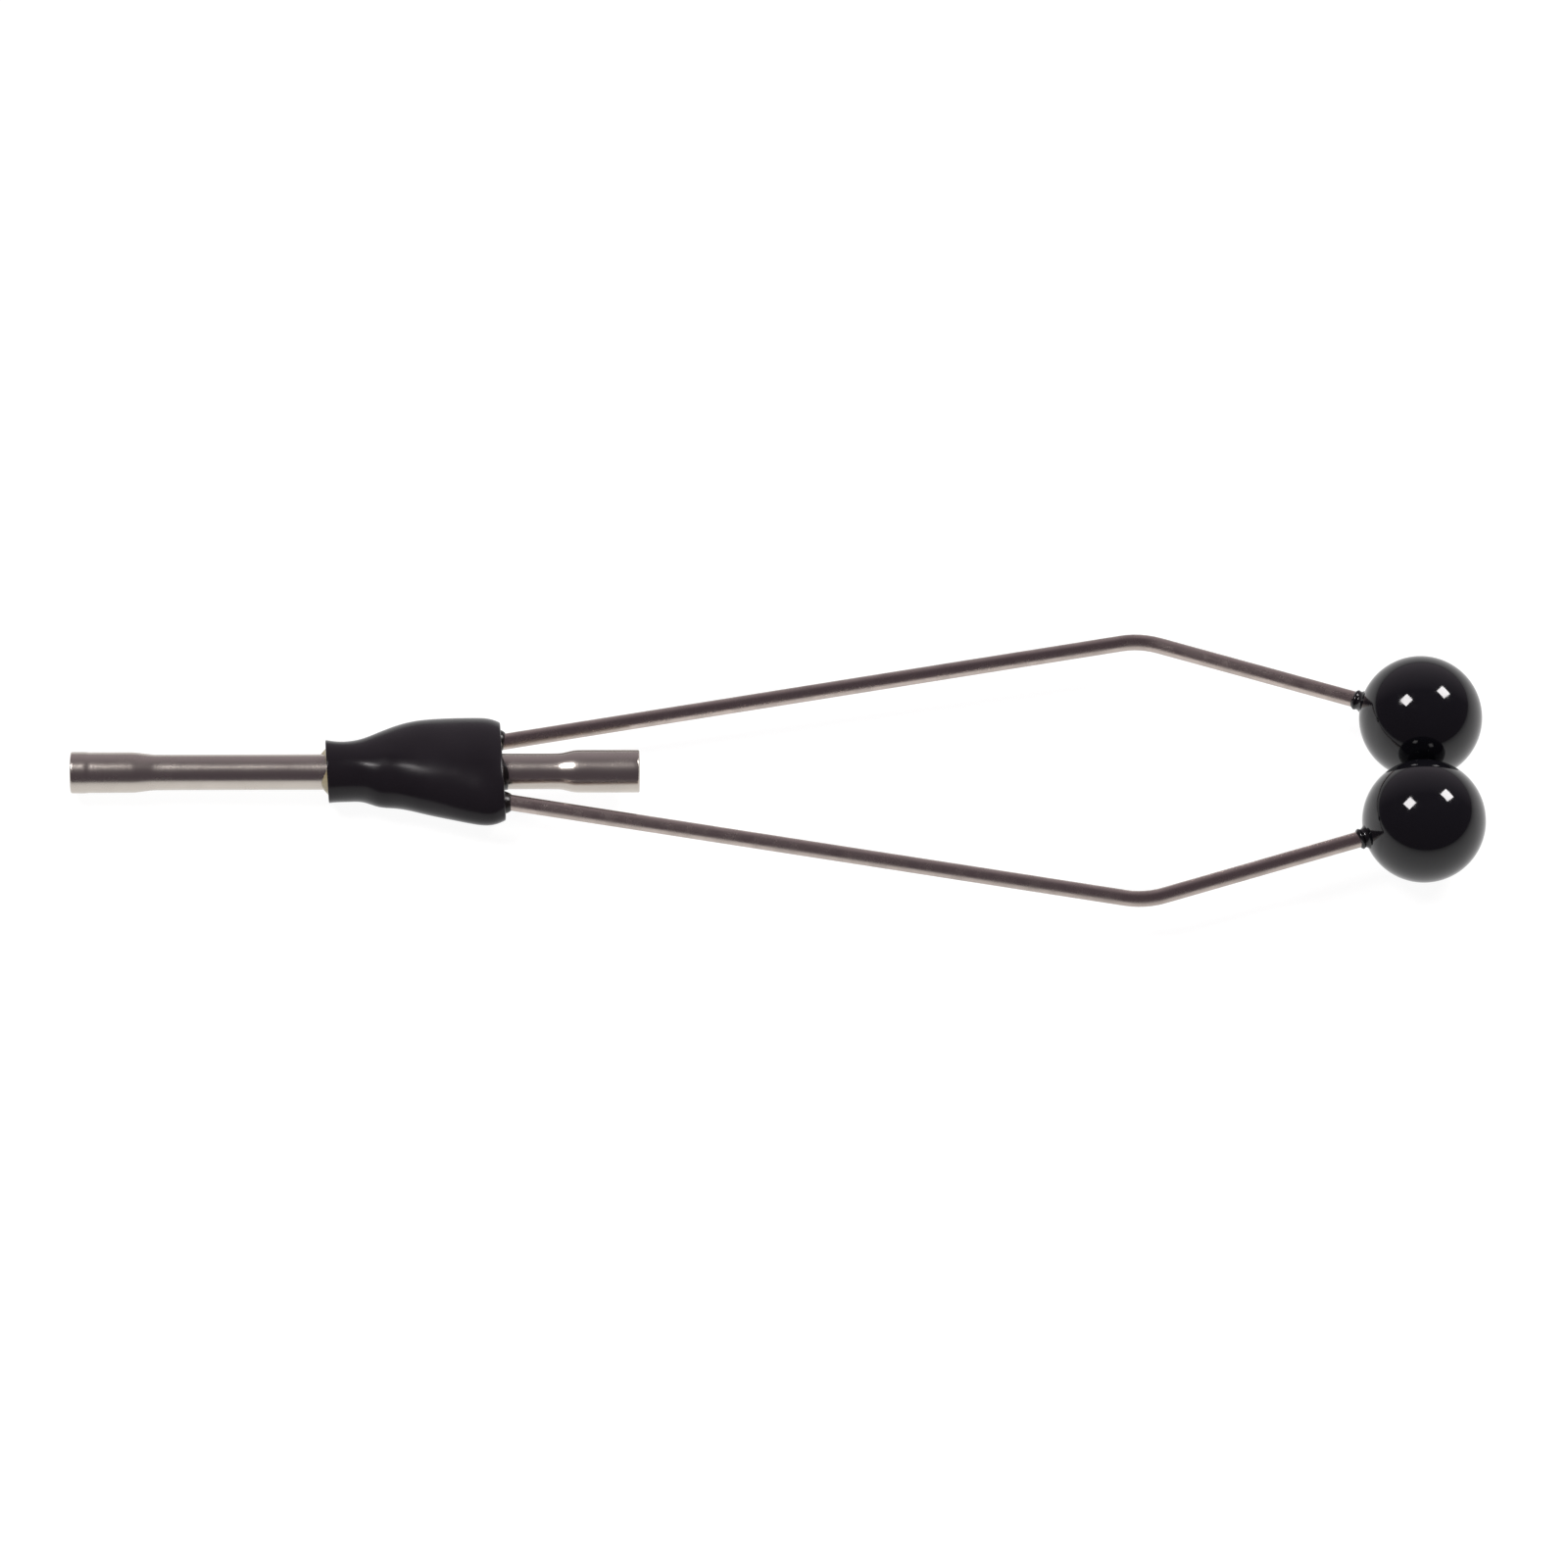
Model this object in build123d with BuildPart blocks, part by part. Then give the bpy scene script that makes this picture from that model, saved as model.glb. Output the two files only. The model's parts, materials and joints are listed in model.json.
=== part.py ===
"""Ball-tip bobbin holder for thread: a steel tube between two spring wires that end in balls.

The thread of a small spool runs through the tube, and the balls sit in the ends of the spool.
Millimetres, +Z up. The origin is the centre of the tube's front mouth, where the thread comes
out, and the tube runs along +X towards the balls. Left is +Y. The wires and the balls lie in the
plane of the tube's axis.
"""

import os
from math import asin, cos, radians, sin, sqrt, tan

from build123d import *

# ---- driving dimensions ----
BALL_DIAMETER = 10.0
BALL_GAP = 0.12  # between the two balls when the arms are closed
BALL_X = 109.25  # the balls' centres
BALL_HOLE_DEPTH = 4.6
GLUE_CLEARANCE = 0.025  # round a wire in its ball, filled with glue
GLUE_RADIUS = 1.05  # of the glue bead where it meets the ball
GLUE_HEIGHT = 0.95  # how far the bead runs up the wire
GLUE_THICKNESS = 0.22  # on the wire, half way up the bead

WIRE_DIAMETER = 1.3
WIRE_BEND_RADIUS = 6.0
ELBOW_X, ELBOW_Y = 86.65, 12.76  # where an arm turns back inwards, on the wire's centre line
ARM_ANGLE = 10.78  # degrees between the tube and the wires behind the sleeve
LEFT_WIRE_START = 25.2  # the wires' inner ends, beside the tube
RIGHT_WIRE_START = 28.0
PIVOT_X = 35.4  # the flexure, just behind the sleeve's mouth
PIVOT_CLEARANCE = 0.04
WIRE_TIP = 0.5  # from a ball's centre to the end of its wire

TUBE_LENGTH = 46.0
TUBE_DIAMETER = 2.88
TUBE_WALL = 0.35
FRONT_END_DIAMETER = 3.30  # both ends of the tube are expanded, so that no edge cuts the thread
FRONT_END_LENGTH = 5.15
FRONT_TAPER = 1.5
REAR_END_DIAMETER = 3.46
REAR_END_LENGTH = 5.3
REAR_TAPER = 1.05
RIM_ROUNDING = 0.13

BRAZE_GAP = 0.06  # between the tube and each wire
BRAZE_HALF_HEIGHT = 0.5
BRAZE_BITE = 0.1  # how far the fillet's section reaches over the tube and the wire
BRAZE_STOP = 1.0  # from the braze's end to the wire's bend

SLEEVE_WALL = 0.5
SLEEVE_FRONT = 20.72  # on the tube's axis: both ends are cut a little askew
SLEEVE_REAR = 34.98
SLEEVE_CUT_ANGLE = 3.7  # degrees
# The shrunk sleeve's outline: x, half-width on the left, half-width on the right, half-height.
SLEEVE_STATIONS = [
    (20.1, 2.47, 2.47, 2.46),
    (21.3, 2.47, 2.46, 2.46),
    (22.5, 2.51, 2.44, 2.46),
    (23.7, 2.86, 2.52, 2.50),
    (25.0, 3.55, 2.99, 2.60),
    (26.4, 4.17, 3.08, 2.72),
    (28.2, 4.65, 3.57, 2.84),
    (30.7, 4.86, 4.27, 2.90),
    (33.0, 4.90, 4.84, 2.90),
    (34.3, 4.64, 4.84, 2.80),
    (35.6, 4.10, 4.35, 2.58),
]
ADHESIVE_REAR = 33.9
ADHESIVE_BEAD = 0.45  # how far the melted lining stands out of the sleeve's front
BEAD_CLEARANCE = 0.02  # between the bead's edge and the tube, and the sleeve

# ---- worked out from them ----
ball_radius = BALL_DIAMETER / 2
ball_y = ball_radius + BALL_GAP / 2
wire_radius = WIRE_DIAMETER / 2
tube_radius = TUBE_DIAMETER / 2
front_radius = FRONT_END_DIAMETER / 2
rear_radius = REAR_END_DIAMETER / 2
rear_end_start = TUBE_LENGTH - REAR_END_LENGTH
wire_offset = tube_radius + BRAZE_GAP + wire_radius  # a wire's centre line beside the tube
arm_slope = tan(radians(ARM_ANGLE))
wire_bend_x = ELBOW_X - (ELBOW_Y - wire_offset) / arm_slope
pivot_y = ELBOW_Y - (ELBOW_X - PIVOT_X) * arm_slope


def tube_wall(inset):
    """One long side of the tube's section, drawn in from the outside by inset."""
    along = (1, 0)
    Line((0, front_radius - inset), (FRONT_END_LENGTH, front_radius - inset))
    Spline(
        (FRONT_END_LENGTH, front_radius - inset),
        (FRONT_END_LENGTH + FRONT_TAPER, tube_radius - inset),
        tangents=[along, along],
    )
    Line(
        (FRONT_END_LENGTH + FRONT_TAPER, tube_radius - inset),
        (rear_end_start - REAR_TAPER, tube_radius - inset),
    )
    Spline(
        (rear_end_start - REAR_TAPER, tube_radius - inset),
        (rear_end_start, rear_radius - inset),
        tangents=[along, along],
    )
    Line((rear_end_start, rear_radius - inset), (TUBE_LENGTH, rear_radius - inset))


def sleeve_outline(inset, mode=Mode.ADD):
    """The sleeve's outside as one closed solid, drawn in by inset all round."""
    sections = []
    for x, left, right, half_height in SLEEVE_STATIONS:
        height = half_height - inset
        with BuildSketch(Plane.YZ.offset(x)) as station:
            with BuildLine():
                EllipticalCenterArc((0, 0), left - inset, height, start_angle=-90, arc_size=180)
                EllipticalCenterArc((0, 0), right - inset, height, start_angle=90, arc_size=180)
            make_face()
        sections.append(station.sketch)
    loft(sections, mode=mode)


def askew_cut(x):
    """A plane across the tube's axis at x, whose left side is nearer the front."""
    turn = radians(SLEEVE_CUT_ANGLE)
    return Plane(origin=(x, 0, 0), z_dir=(cos(turn), sin(turn), 0))


def finish(piece, name):
    """Names a finished piece and writes it."""
    piece.part.label = name
    export_step(piece.part, f"parts/{name}.step")


os.makedirs("parts", exist_ok=True)

# ---- the tube: drawn steel with both ends expanded and their rims rounded ----
with BuildPart() as thread_tube:
    with BuildSketch(Plane.XZ):
        with BuildLine():
            tube_wall(0)
            tube_wall(TUBE_WALL)
            Line((0, front_radius), (0, front_radius - TUBE_WALL))
            Line((TUBE_LENGTH, rear_radius), (TUBE_LENGTH, rear_radius - TUBE_WALL))
        make_face()
    revolve(axis=Axis.X)
    rims = thread_tube.edges().filter_by(GeomType.CIRCLE).group_by(Axis.X)
    fillet(rims[0] + rims[-1], radius=RIM_ROUNDING)
finish(thread_tube, "thread_tube")

# ---- the two arms: each is one spring wire, brazed to the tube's side, with its ball ----
wire_roots = []
braze_fillets = []
for side, name, wire_start in ((1, "left", LEFT_WIRE_START), (-1, "right", RIGHT_WIRE_START)):
    wire_end = Vector(wire_start, side * wire_offset)
    wire_bend = Vector(wire_bend_x, side * wire_offset)
    pivot = Vector(PIVOT_X, side * pivot_y)
    elbow = Vector(ELBOW_X, side * ELBOW_Y)
    ball_centre = Vector(BALL_X, side * ball_y)
    out = (elbow - ball_centre).normalized()  # the way the wire leaves the ball

    # The stretch inside the sleeve ends in a cup, where the arm flexes.
    with BuildPart() as wire_root:
        with BuildLine():
            FilletPolyline(wire_end, wire_bend, pivot, radius=WIRE_BEND_RADIUS)
        with BuildSketch(Plane(origin=wire_end, z_dir=(1, 0, 0))):
            Circle(wire_radius)
        sweep()
        with Locations(pivot):
            Sphere(wire_radius + PIVOT_CLEARANCE, mode=Mode.SUBTRACT)
    finish(wire_root, f"wire_root_{name}")
    wire_roots.append(wire_root.part)

    # The braze fills the gap and both corners between the tube and the wire.
    with BuildPart() as braze_fillet:
        with BuildSketch(Plane.YZ.offset(wire_start)):
            with Locations((side * (tube_radius + BRAZE_GAP / 2), 0)):
                Rectangle(BRAZE_GAP + 2 * BRAZE_BITE, 2 * BRAZE_HALF_HEIGHT)
            Circle(tube_radius, mode=Mode.SUBTRACT)
            with Locations((side * wire_offset, 0)):
                Circle(wire_radius, mode=Mode.SUBTRACT)
        extrude(amount=wire_bend_x - BRAZE_STOP - wire_start)
    finish(braze_fillet, f"braze_fillet_{name}")
    braze_fillets.append(braze_fillet.part)

    # The free stretch turns about its own round end, and its tip is in the ball.
    with BuildPart() as wire_arm:
        with BuildLine():
            FilletPolyline(pivot, elbow, ball_centre + out * WIRE_TIP, radius=WIRE_BEND_RADIUS)
        with BuildSketch(Plane(origin=pivot, z_dir=elbow - pivot)):
            Circle(wire_radius)
        sweep()
        with Locations(pivot):
            Sphere(wire_radius)
    finish(wire_arm, f"wire_arm_{name}")

    with BuildPart() as ball:
        with Locations(ball_centre):
            Sphere(ball_radius)
        with Locations(Plane(origin=ball_centre + out * ball_radius, z_dir=out)):
            Hole(wire_radius + GLUE_CLEARANCE, depth=BALL_HOLE_DEPTH)
    finish(ball, f"ball_{name}")

    # A bead of glue closes the ball's hole and runs up the wire. Its section is drawn with the
    # wire's direction upwards and the ball's centre at the origin.
    hole_radius = wire_radius + GLUE_CLEARANCE
    hole_height = sqrt(ball_radius**2 - hole_radius**2)
    foot_height = sqrt(ball_radius**2 - GLUE_RADIUS**2)
    foot_middle = (asin(GLUE_RADIUS / ball_radius) + asin(hole_radius / ball_radius)) / 2
    top_height = ball_radius + GLUE_HEIGHT
    section = Plane(origin=ball_centre, x_dir=(0, 0, 1), z_dir=Vector(0, 0, 1).cross(out))
    with BuildPart() as glue_bead:
        with BuildSketch(section):
            with BuildLine():
                Polyline(
                    (hole_radius, hole_height),
                    (wire_radius, hole_height),
                    (wire_radius, top_height),
                )
                ThreePointArc(
                    (wire_radius, top_height),
                    (wire_radius + GLUE_THICKNESS, foot_height + GLUE_HEIGHT / 2),
                    (GLUE_RADIUS, foot_height),
                )
                ThreePointArc(
                    (GLUE_RADIUS, foot_height),
                    (ball_radius * sin(foot_middle), ball_radius * cos(foot_middle)),
                    (hole_radius, hole_height),
                )
            make_face()
        revolve(axis=Axis(origin=ball_centre, direction=out))
    finish(glue_bead, f"glue_bead_{name}")

# ---- the sleeve: shrink tubing with a hot-melt lining that squeezed out at its front ----
with BuildPart() as shrink_sleeve:
    sleeve_outline(0)
    sleeve_outline(SLEEVE_WALL, mode=Mode.SUBTRACT)
    split(bisect_by=askew_cut(SLEEVE_FRONT), keep=Keep.TOP)
    split(bisect_by=askew_cut(SLEEVE_REAR), keep=Keep.BOTTOM)
finish(shrink_sleeve, "shrink_sleeve")

lining_radius = SLEEVE_STATIONS[0][3] - SLEEVE_WALL  # inside the sleeve's narrow front
with BuildPart() as adhesive_lining:
    sleeve_outline(SLEEVE_WALL)
    split(bisect_by=Plane.YZ.offset(SLEEVE_FRONT), keep=Keep.TOP)
    split(bisect_by=Plane.YZ.offset(ADHESIVE_REAR), keep=Keep.BOTTOM)
    with BuildSketch(Plane.XZ):
        with Locations((SLEEVE_FRONT, (tube_radius + lining_radius) / 2)):
            Ellipse(ADHESIVE_BEAD, (lining_radius - tube_radius) / 2 - BEAD_CLEARANCE)
    revolve(axis=Axis.X)
    with BuildSketch(Plane.YZ.offset(SLEEVE_FRONT - ADHESIVE_BEAD)):
        Circle(tube_radius)
    extrude(amount=ADHESIVE_REAR - SLEEVE_FRONT + ADHESIVE_BEAD, mode=Mode.SUBTRACT)
    add(wire_roots + braze_fillets, mode=Mode.SUBTRACT)
finish(adhesive_lining, "adhesive_lining")

print(f"pivots at x {PIVOT_X:.3f}, y {pivot_y:.4f}, balls at y {ball_y:.3f}")
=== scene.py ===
"""Looks of a ball-tip bobbin holder: a steel thread tube in a black shrink sleeve between two
bent spring wires that end in glossy balls. Metres, in the frame of the packed CAD model: the tube
runs along +X from the centre of its front mouth, left is +Y, and the tool lies in the plane z = 0.
"""

import json
from math import asin, cos, pi, radians, sin, tan

import bpy
import numpy as np
from bpy.props import FloatProperty, FloatVectorProperty, PointerProperty
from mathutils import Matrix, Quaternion, Vector


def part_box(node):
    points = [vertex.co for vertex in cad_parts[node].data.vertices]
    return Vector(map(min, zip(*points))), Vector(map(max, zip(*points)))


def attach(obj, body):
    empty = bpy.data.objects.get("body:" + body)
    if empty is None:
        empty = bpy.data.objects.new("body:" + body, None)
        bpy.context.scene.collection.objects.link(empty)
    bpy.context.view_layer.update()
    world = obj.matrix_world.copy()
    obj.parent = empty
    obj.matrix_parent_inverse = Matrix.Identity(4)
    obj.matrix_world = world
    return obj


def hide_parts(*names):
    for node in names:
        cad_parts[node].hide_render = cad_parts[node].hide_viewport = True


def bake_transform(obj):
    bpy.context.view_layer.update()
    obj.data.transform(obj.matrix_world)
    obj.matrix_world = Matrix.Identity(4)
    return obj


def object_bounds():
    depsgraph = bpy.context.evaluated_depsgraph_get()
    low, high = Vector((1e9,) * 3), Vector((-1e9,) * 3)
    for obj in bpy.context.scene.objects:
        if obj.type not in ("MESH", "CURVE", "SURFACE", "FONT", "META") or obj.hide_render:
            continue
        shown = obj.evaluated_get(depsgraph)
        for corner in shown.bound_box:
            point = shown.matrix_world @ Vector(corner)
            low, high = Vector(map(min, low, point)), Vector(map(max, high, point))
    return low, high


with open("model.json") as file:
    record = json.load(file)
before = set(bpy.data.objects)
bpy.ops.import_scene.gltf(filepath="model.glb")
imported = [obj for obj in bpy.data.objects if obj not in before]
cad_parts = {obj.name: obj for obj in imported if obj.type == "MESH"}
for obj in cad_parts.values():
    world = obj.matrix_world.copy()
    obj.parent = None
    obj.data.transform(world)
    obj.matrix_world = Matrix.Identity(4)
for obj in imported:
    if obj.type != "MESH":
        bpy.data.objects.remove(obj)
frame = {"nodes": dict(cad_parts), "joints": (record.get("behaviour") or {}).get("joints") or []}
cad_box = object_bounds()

bl_info = {
    "name": "Ball-tip bobbin holder",
    "version": (1, 0, 0),
    "blender": (4, 5, 0),
    "location": "3D view > Sidebar > Bobbin holder",
    "description": "Builds the visible pieces, materials and studio of a thread bobbin holder",
    "category": "Add Mesh",
}

MM = 0.001
SIDES = ((1, "left"), (-1, "right"))


# ---- colours ----


def linear(hex_colour, alpha=True):
    """The linear colour of an sRGB hex such as "8A6B4C"."""
    srgb = np.array([int(hex_colour[i : i + 2], 16) / 255 for i in (0, 2, 4)])
    rgb = np.where(srgb <= 0.04045, srgb / 12.92, ((srgb + 0.055) / 1.055) ** 2.4)
    return (*rgb.tolist(), 1.0) if alpha else tuple(rgb.tolist())


# ---- what the packed model says ----


def box_of(node):
    """Lowest and highest corner of a CAD node as arrays."""
    return tuple(np.array(corner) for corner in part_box(node))


_, tube_high = box_of("thread_tube")
ball_low, ball_high = box_of("ball_left")
wire_low, wire_high = box_of("wire_arm_left")
root_low, _ = box_of("wire_root_left")
right_root_low, _ = box_of("wire_root_right")
ball_centre = (ball_low + ball_high) / 2
ball_centre[0] = ball_high[0] - (ball_high[1] - ball_low[1]) / 2
flexure = next(j["pos_m"] for j in frame["joints"] if j["name"] == "left_arm_flex")


# ---- sizes and colours that a user would change ----


def length(name, description, default):
    """A length property in metres."""
    return FloatProperty(
        name=name, description=description, default=default, min=0, unit="LENGTH", subtype="DISTANCE"
    )


def colour(name, description, default):
    """A colour property with its default as sRGB hex."""
    return FloatVectorProperty(
        name=name,
        description=description,
        default=linear(default, alpha=False),
        subtype="COLOR",
        min=0,
        max=1,
    )


class ThreadTubeSettings(bpy.types.PropertyGroup):
    """The steel tube that the thread runs through."""

    length: length("Length", "From the front mouth to the rear end", float(tube_high[0]))
    body: length("Diameter", "Outside diameter between the expanded ends", 2.88 * MM)
    front_end: length("Front end", "Outside diameter of the expanded front end", 3.30 * MM)
    front_length: length("Front end length", "How long the expanded front end is", 5.15 * MM)
    front_taper: length("Front taper", "Length of the taper behind the front end", 1.5 * MM)
    rear_end: length("Rear end", "Outside diameter of the expanded rear end", 3.46 * MM)
    rear_length: length("Rear end length", "How long the expanded rear end is", 5.3 * MM)
    rear_taper: length("Rear taper", "Length of the taper before the rear end", 1.05 * MM)
    lip: length("Lip", "How far the rolled front lip stands out", 0.035 * MM)
    wall: length("Wall", "Thickness of the tube's wall", 0.35 * MM)
    steel: colour("Steel", "Colour of the stainless steel", "C2BBB3")


class SpringWireSettings(bpy.types.PropertyGroup):
    """The two bent spring wires."""

    diameter: length("Diameter", "Of the drawn wire", float(wire_high[2] - wire_low[2]))
    bend_radius: length("Bend radius", "At the elbow and inside the sleeve", 6.0 * MM)
    elbow_x: length("Elbow, along", "Where the wire turns back inwards", 86.65 * MM)
    elbow_y: length("Elbow, out", "The elbow's distance from the tube's axis", 12.76 * MM)
    beside_tube: length("Offset", "Wire's centre line from the tube's axis", 2.15 * MM)
    flex_inside: length("Flex inside", "How far inside the sleeve an opened arm starts to bend", 4.2 * MM)
    flex_outside: length("Flex outside", "How far behind the sleeve it stops bending", 8 * MM)
    steel: colour("Steel", "Colour of the spring steel", "C2B6AF")


class BallSettings(bpy.types.PropertyGroup):
    """The two balls that hold the spool, with the glue at their holes."""

    diameter: length("Diameter", "Of each ball", float(ball_high[1] - ball_low[1]))
    hole_depth: length("Hole depth", "How deep the wire's hole is", 4.6 * MM)
    glue_foot: length("Glue foot", "Radius of the glue where it meets the ball", 1.02 * MM)
    glue_height: length("Glue height", "How far the glue runs up the wire", 0.68 * MM)
    plastic: colour("Plastic", "Colour of the balls", "0F0F13")


class SleeveSettings(bpy.types.PropertyGroup):
    """The shrink sleeve and the melted lining in it."""

    front: length("Front", "Where the sleeve begins on the tube's axis", 20.72 * MM)
    rear: length("Rear", "Where the sleeve ends on the tube's axis", 34.95 * MM)
    wall: length("Wall", "Thickness of the shrunk tubing", 0.5 * MM)
    bead: length("Melt bead", "How far the melted lining stands out in front", 0.45 * MM)
    polymer: colour("Sleeve", "Colour of the shrink tubing", "1F1C20")
    melt: colour("Melt", "Colour of the hot-melt lining", "B9AD8A")


class StudioSettings(bpy.types.PropertyGroup):
    """The pale table, the two softboxes and the camera."""

    elevation: FloatProperty(
        name="Elevation", description="Camera above the table", default=radians(55.6), subtype="ANGLE"
    )
    azimuth: FloatProperty(
        name="Azimuth", description="Camera round the tool", default=radians(0.6), subtype="ANGLE"
    )
    roll: FloatProperty(
        name="Roll", description="Camera about its own axis", default=radians(-0.65), subtype="ANGLE"
    )
    distance: length("Distance", "From the camera to the tool", 1.0)
    focal_length: FloatProperty(
        name="Focal length", description="Of the lens, in millimetres", default=284.25, min=10
    )
    softbox_radiance: FloatProperty(
        name="Softbox radiance", description="Brightness of each softbox", default=21.0, min=0
    )
    table: colour("Table", "Colour of the table", "F3F2EF")
    room: colour("Room", "Colour of the dim room that the steel reflects", "595058")
    far_wall: colour("Far wall", "Colour of the paler wall on the tool's left", "B2A8B0")


def settings(name):
    """One of the add-on's property groups on the scene."""
    return getattr(bpy.context.scene, f"bobbin_{name}")


# ---- surfaces ----


def make_piece(name, grid, material, close_rows=False, first_pole=None, last_pole=None):
    """A mesh object from a grid of points (rows, columns, 3).

    Each row is a closed ring. The rows are joined in order, also the last to the first if
    close_rows is set, and a pole closes an end ring with a fan. The faces are turned so that the
    signed volume of the closed surface is positive, which makes them point outwards. The UV map
    runs from 0 to 1 along the rows and round the columns.
    """
    rows, columns = grid.shape[:2]
    spans = rows if close_rows else rows - 1
    row, column = np.meshgrid(np.arange(spans), np.arange(columns), indexing="ij")
    row_steps = np.array([0, 0, 1, 1])
    column_steps = np.array([0, 1, 1, 0])
    corner_rows = row[..., None] + row_steps
    corner_columns = column[..., None] + column_steps
    quads = (corner_rows % rows * columns + corner_columns % columns).reshape(-1, 4)
    uv = np.stack([corner_rows / max(spans, 1), corner_columns / columns], axis=-1)
    uv = uv.reshape(-1, 4, 2)
    points = grid.reshape(-1, 3)

    around = np.arange(columns)
    fans = []
    for pole, ring, steps in ((first_pole, 0, (1, 0)), (last_pole, rows - 1, (0, 1))):
        if pole is None:
            continue
        points = np.vstack([points, pole])
        edge = np.stack([around + steps[0], around + steps[1]], axis=1)
        tip = np.full((columns, 1), len(points) - 1)
        level = np.full((columns, 3), ring / max(spans, 1))
        turn = np.column_stack([edge, around + 0.5]) / columns
        fans.append((np.hstack([ring * columns + edge % columns, tip]), np.stack([level, turn], -1)))

    a, b, c, d = (points[quads[:, i]] for i in range(4))
    volume = np.einsum("ij,ij->", a, np.cross(b, c) + np.cross(c, d))
    for faces, _ in fans:
        p, q, r = (points[faces[:, i]] for i in range(3))
        volume += np.einsum("ij,ij->", p, np.cross(q, r))
    order = slice(None) if volume > 0 else slice(None, None, -1)

    faces = quads[:, order].tolist()
    corner_uv = [uv[:, order].reshape(-1, 2)]
    for fan, fan_uv in fans:
        faces += fan[:, order].tolist()
        corner_uv.append(fan_uv[:, order].reshape(-1, 2))
    mesh = bpy.data.meshes.new(name)
    mesh.from_pydata(points.tolist(), [], faces)
    layer = mesh.uv_layers.new(name="along_and_around")
    layer.data.foreach_set("uv", np.concatenate(corner_uv).astype(np.float32).ravel())
    mesh.shade_smooth()
    mesh.materials.append(material)
    piece = bpy.data.objects.new(name, mesh)
    bpy.context.scene.collection.objects.link(piece)
    return piece


def turned(radii, heights, origin, axis, columns):
    """Grid of a turned surface: origin + axis * height + radius * (u cos t + w sin t).

    t runs once round the axis, and u and w are square to it. The radii are one per row, or a
    full (rows, columns) array for a lumpy surface, and so are the heights.
    """
    axis = np.array(axis, float) / np.linalg.norm(axis)
    w = np.array([0.0, 0.0, 1.0])
    u = np.cross(w, axis)
    angle = np.linspace(0, 2 * pi, columns, endpoint=False)
    ring = np.cos(angle)[:, None] * u + np.sin(angle)[:, None] * w
    radii = np.broadcast_to(np.reshape(radii, (len(radii), -1)), (len(radii), columns))
    heights = np.broadcast_to(np.reshape(heights, (len(heights), -1)), (len(heights), columns))
    return np.array(origin) + heights[..., None] * axis + radii[..., None] * ring


def eased(start, end, x):
    """Smoothstep from 0 at start to 1 at end: 3 t^2 - 2 t^3."""
    t = np.clip((x - start) / (end - start), 0, 1)
    return t * t * (3 - 2 * t)


def rounded_ramp(start, end, rounding, x):
    """A straight ramp from 0 at start to 1 at end with rounded corners.

    It is one half plus the difference of two hyperbolas, hypot(x - start, rounding) and
    hypot(x - end, rounding), over twice the ramp's length.
    """
    return 0.5 + (np.hypot(x - start, rounding) - np.hypot(x - end, rounding)) / (2 * (end - start))


def rounded_edge(thickness, depth, power, count):
    """The edge of a wall as (how far out, how far in from the outer face).

    It is half of the superellipse |a|^power + |b|^power = 1, from the outer to the inner face.
    """
    t = np.linspace(0, pi, count + 2)[1:-1]
    out = depth * np.abs(np.sin(t)) ** (2 / power)
    across = np.sign(np.cos(t)) * np.abs(np.cos(t)) ** (2 / power)
    return out, thickness / 2 * (1 - across)


def natural_spline(stations, values, x):
    """The cubic through the stations whose second derivative is continuous and 0 at both ends."""
    step = np.diff(stations)
    slope = np.diff(values) / step
    system = np.eye(len(stations))
    right_side = np.zeros(len(stations))
    inner = np.arange(1, len(stations) - 1)
    system[inner, inner - 1] = step[:-1]
    system[inner, inner] = 2 * (step[:-1] + step[1:])
    system[inner, inner + 1] = step[1:]
    right_side[inner] = 6 * np.diff(slope)
    bend = np.linalg.solve(system, right_side)
    i = np.clip(np.searchsorted(stations, x) - 1, 0, len(step) - 1)
    before, after = x - stations[i], stations[i + 1] - x
    cubes = (bend[i] * after**3 + bend[i + 1] * before**3) / (6 * step[i])
    lines = (values[i] / step[i] - bend[i] * step[i] / 6) * after
    return cubes + lines + (values[i + 1] / step[i] - bend[i + 1] * step[i] / 6) * before


# ---- materials ----


def add(material, kind, inputs=None, **attributes):
    """Adds a node, sets its attributes, and gives each named input a value or a link."""
    tree = material.node_tree
    node = tree.nodes.new(kind)
    for key, value in attributes.items():
        setattr(node, key, value)
    for key, value in (inputs or {}).items():
        if isinstance(value, bpy.types.NodeSocket):
            tree.links.new(value, node.inputs[key])
        else:
            node.inputs[key].default_value = value
    return node


def surface_material(name, inputs):
    """A material whose Principled shader has these constants."""
    material = bpy.data.materials.new(name)
    material.use_nodes = True
    shader = material.node_tree.nodes["Principled BSDF"]
    for key, value in inputs.items():
        shader.inputs[key].default_value = value
    return material, shader


def connect(material, shader, outputs):
    """Links each named input of the shader to an output."""
    for key, output in outputs.items():
        material.node_tree.links.new(output, shader.inputs[key])


def mixed_colour(material, factor, first, second):
    """A colour that goes from first to second as factor goes from 0 to 1.

    The Mix node has sockets of the same name for each data type, so its colour sockets go by
    number: 0 is the factor, 6 and 7 are the colours, and output 2 is the result.
    """
    mix = add(material, "ShaderNodeMix", {0: factor, 6: first, 7: second}, data_type="RGBA")
    return mix.outputs[2]


def shaded(rgb, factor):
    """A linear colour made darker or lighter, with alpha."""
    return (*[min(1.0, float(c) * factor) for c in rgb[:3]], 1.0)


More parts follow.
